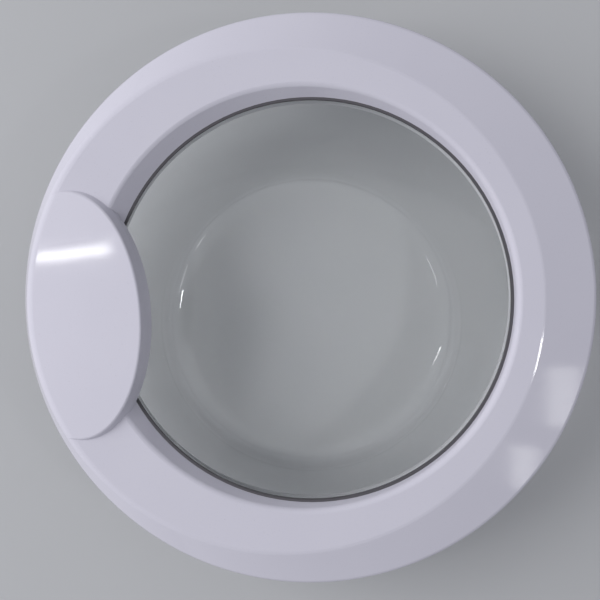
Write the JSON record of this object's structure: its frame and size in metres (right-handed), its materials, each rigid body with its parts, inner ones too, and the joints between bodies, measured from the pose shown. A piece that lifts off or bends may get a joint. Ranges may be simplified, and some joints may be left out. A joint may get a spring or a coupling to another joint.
{
  "type": "washing machine door",
  "caption": "Round front-loader washing machine door: gloss plastic ring with moulded pull grip, deep clear glass bowl, sprung latch hook and side hinge.",
  "frame": {"origin": "below the centre of the ring, level with the glass bowl's flat bottom, on which the door lies", "axes": "+Z out of the door's front face, -X towards the grip, +X towards the hinge, +Y to the upper side of the hung door"},
  "size_m": [0.47, 0.47, 0.1279],
  "materials": {
    "gloss_white_plastic": "gloss",
    "satin_white_plastic": "satin",
    "clear_glass": "polished",
    "dark_rubber": "matte",
    "grey_plastic": "satin",
    "zinc_steel": "zinc plated",
    "spring_steel": "bright",
    "bush_plastic": "satin"
  },
  "bodies": {
    "door": {"front_ring": "gloss_white_plastic", "rear_ring": "satin_white_plastic", "glass_bowl": "clear_glass", "glass_gasket": "dark_rubber", "door_buffer_1": "dark_rubber", "door_buffer_2": "dark_rubber", "latch_housing": "grey_plastic", "latch_pin": "zinc_steel", "hinge_leaf": "zinc_steel", "hinge_nut_plate": "zinc_steel", "frame_screw_1": "zinc_steel", "frame_screw_2": "zinc_steel", "frame_screw_3": "zinc_steel", "frame_screw_4": "zinc_steel", "frame_screw_5": "zinc_steel", "frame_screw_6": "zinc_steel", "frame_screw_7": "zinc_steel", "frame_screw_8": "zinc_steel", "frame_screw_9": "zinc_steel", "frame_screw_10": "zinc_steel", "latch_screw_1": "zinc_steel", "latch_screw_2": "zinc_steel", "leaf_screw_1": "zinc_steel", "leaf_screw_2": "zinc_steel", "leaf_screw_3": "zinc_steel", "leaf_screw_4": "zinc_steel", "latch_spring": "spring_steel", "hinge_pin": "spring_steel", "hinge_pin_clip": "spring_steel"},
    "latch": {"latch_hook": "zinc_steel"},
    "hinge_bracket": {"hinge_bracket": "zinc_steel", "hinge_bush_upper": "bush_plastic", "hinge_bush_lower": "bush_plastic"}
  },
  "joints": [
    {"name": "hinge_swing", "type": "hinge", "parent": "door", "child": "hinge_bracket", "pos_m": [0.224, 0, 0.07], "axis": [0, -1, 0], "range_deg": [-90, 70]},
    {"name": "latch_tip", "type": "hinge", "parent": "door", "child": "latch", "pos_m": [-0.205, 0, 0.09], "axis": [0, -1, 0], "range_deg": [0, 12], "stiffness_Nm_per_rad": 0.6, "springref_deg": -11.46, "deforming": ["latch_spring"]}
  ]
}
